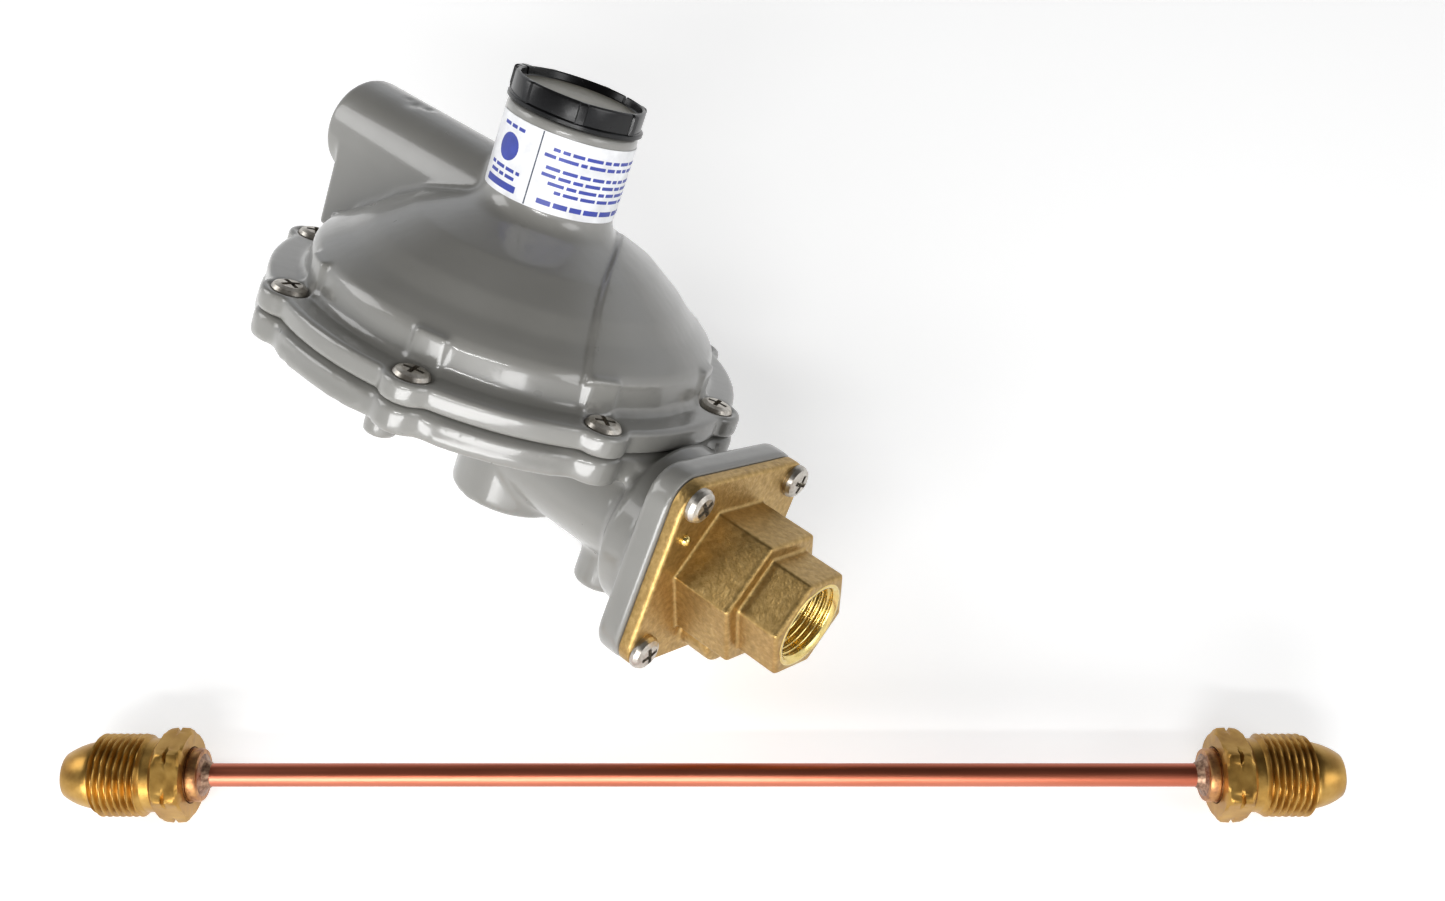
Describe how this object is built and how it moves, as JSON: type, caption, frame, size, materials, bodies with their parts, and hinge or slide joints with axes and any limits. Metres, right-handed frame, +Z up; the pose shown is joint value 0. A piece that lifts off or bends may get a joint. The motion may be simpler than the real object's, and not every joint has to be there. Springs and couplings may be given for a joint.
{
  "type": "gas regulator with copper pigtail",
  "caption": "Gas pressure regulator with a domed casing, screwed cap, side vent and square brass inlet block, lying behind a straight rigid copper pigtail with a male fitting at each end.",
  "frame": {"origin": "middle of the footprint, on the surface that the regulator and the pigtail lie on", "axes": "+Z up, +X along the pigtail with the regulator inlet pointing to +X and towards -Y, +Y away from the pigtail across the regulator"},
  "size_m": [0.3494, 0.2202, 0.1272],
  "materials": {
    "grey_casting": "gloss",
    "cast_brass": "satin",
    "turned_brass": "satin",
    "zinc_steel": "satin",
    "rubber": "matte",
    "black_plastic": "gloss",
    "nylon": "matte",
    "machined_aluminium": "satin",
    "sintered_bronze": "matte",
    "label_film": "satin",
    "copper": "satin",
    "braze_alloy": "satin"
  },
  "bodies": {
    "regulator": {"upper_casing": "grey_casting", "lower_casing": "grey_casting", "flange_screws": "zinc_steel", "inlet_block": "cast_brass", "inlet_screws": "zinc_steel", "inlet_gasket": "rubber", "inlet_orifice": "turned_brass", "inlet_filter": "sintered_bronze", "ball_plug": "cast_brass", "outlet_tap_plug": "turned_brass", "first_stage_tap_plug": "turned_brass", "outlet_orifice": "turned_brass", "valve_guide": "nylon", "lever_pin": "zinc_steel", "vent_screen": "zinc_steel", "vent_snap_ring": "zinc_steel", "vent_flap_pin": "zinc_steel", "bonnet_label": "label_film", "diaphragm": "rubber", "relief_spring": "zinc_steel", "main_spring": "zinc_steel", "first_stage_spring": "zinc_steel"},
    "pusher": {"pusher_post": "turned_brass", "lower_washer": "zinc_steel", "relief_nut": "zinc_steel", "relief_washer": "zinc_steel"},
    "plate": {"diaphragm_plate": "zinc_steel"},
    "spring_seat": {"spring_seat": "zinc_steel"},
    "adjuster": {"adjusting_screw": "nylon"},
    "cap_seal": {"cap_gasket": "rubber"},
    "cap": {"bonnet_cap": "black_plastic"},
    "lever": {"lever": "zinc_steel"},
    "valve": {"valve_stem": "turned_brass", "valve_disc": "rubber"},
    "piston": {"first_stage_piston": "machined_aluminium", "piston_seals": "rubber", "piston_disc": "rubber"},
    "vent_flap": {"vent_flap": "nylon"},
    "pigtail": {"copper_tube": "copper", "left_nipple": "turned_brass", "right_nipple": "turned_brass", "left_braze": "braze_alloy", "right_braze": "braze_alloy"},
    "left_nut": {"left_nut": "turned_brass"},
    "right_nut": {"right_nut": "turned_brass"}
  },
  "joints": [
    {"name": "cap_lift", "type": "slide", "parent": "regulator", "child": "cap_seal", "axis": [0.332, 0.4705, 0.8175], "range_m": [0, 0.008]},
    {"name": "cap_turn", "type": "hinge", "parent": "cap_seal", "child": "cap", "pos_m": [-0.03749, 0.06129, 0.10819], "axis": [0.332, 0.4705, 0.8175], "range_deg": [0, 1445]},
    {"name": "adjuster_travel", "type": "slide", "parent": "regulator", "child": "spring_seat", "axis": [0.332, 0.4705, 0.8175], "range_m": [-0.006, 0.004], "deforming": ["main_spring"]},
    {"name": "adjuster_turn", "type": "hinge", "parent": "spring_seat", "child": "adjuster", "pos_m": [-0.0436, 0.05263, 0.09314], "axis": [0.332, 0.4705, 0.8175], "range_deg": [-1445, 965]},
    {"name": "diaphragm_stroke", "type": "slide", "parent": "regulator", "child": "pusher", "axis": [0.332, 0.4705, 0.8175], "range_m": [-0.003, 0.0025], "stiffness_N_per_m": 100, "deforming": ["diaphragm", "main_spring"]},
    {"name": "relief_lift", "type": "slide", "parent": "pusher", "child": "plate", "axis": [0.332, 0.4705, 0.8175], "range_m": [0, 0.0015], "stiffness_N_per_m": 100, "springref_m": -0.001, "deforming": ["relief_spring"]},
    {"name": "lever_swing", "type": "hinge", "parent": "regulator", "child": "lever", "pos_m": [-0.05361, -0.00282, 0.02613], "axis": [0.5747, 0.5863, -0.5709], "range_deg": [-7.5, 6.5]},
    {"name": "valve_slide", "type": "slide", "parent": "regulator", "child": "valve", "axis": [0.748, -0.6594, 0.0757], "range_m": [-0.0012, 0.00095]},
    {"name": "piston_slide", "type": "slide", "parent": "regulator", "child": "piston", "axis": [0.748, -0.6594, 0.0757], "range_m": [-0.0004, 0.0012], "stiffness_N_per_m": 100, "deforming": ["first_stage_spring"]},
    {"name": "vent_flap_swing", "type": "hinge", "parent": "regulator", "child": "vent_flap", "pos_m": [-0.07481, 0.07289, 0.08254], "axis": [0.5747, 0.5863, -0.5709], "range_deg": [0, 35]},
    {"name": "pigtail_lift", "type": "slide", "parent": "regulator", "child": "pigtail", "axis": [0, 0, 1], "range_m": [0, 0.15]},
    {"name": "left_nut_spin", "type": "hinge", "parent": "pigtail", "child": "left_nut", "pos_m": [-0.1484, -0.09889, 0.01111], "axis": [1, 0, 0], "continuous": true},
    {"name": "right_nut_spin", "type": "hinge", "parent": "pigtail", "child": "right_nut", "pos_m": [0.1484, -0.09889, 0.01111], "axis": [1, 0, 0], "continuous": true}
  ],
  "couplings": [
    {"joint": "cap_turn", "follows": "cap_lift", "rad_per_m": 3141.6},
    {"joint": "adjuster_turn", "follows": "adjuster_travel", "rad_per_m": 4188.8},
    {"joint": "lever_swing", "follows": "diaphragm_stroke", "rad_per_m": 41.667},
    {"joint": "valve_slide", "follows": "diaphragm_stroke", "ratio": 0.35417}
  ]
}
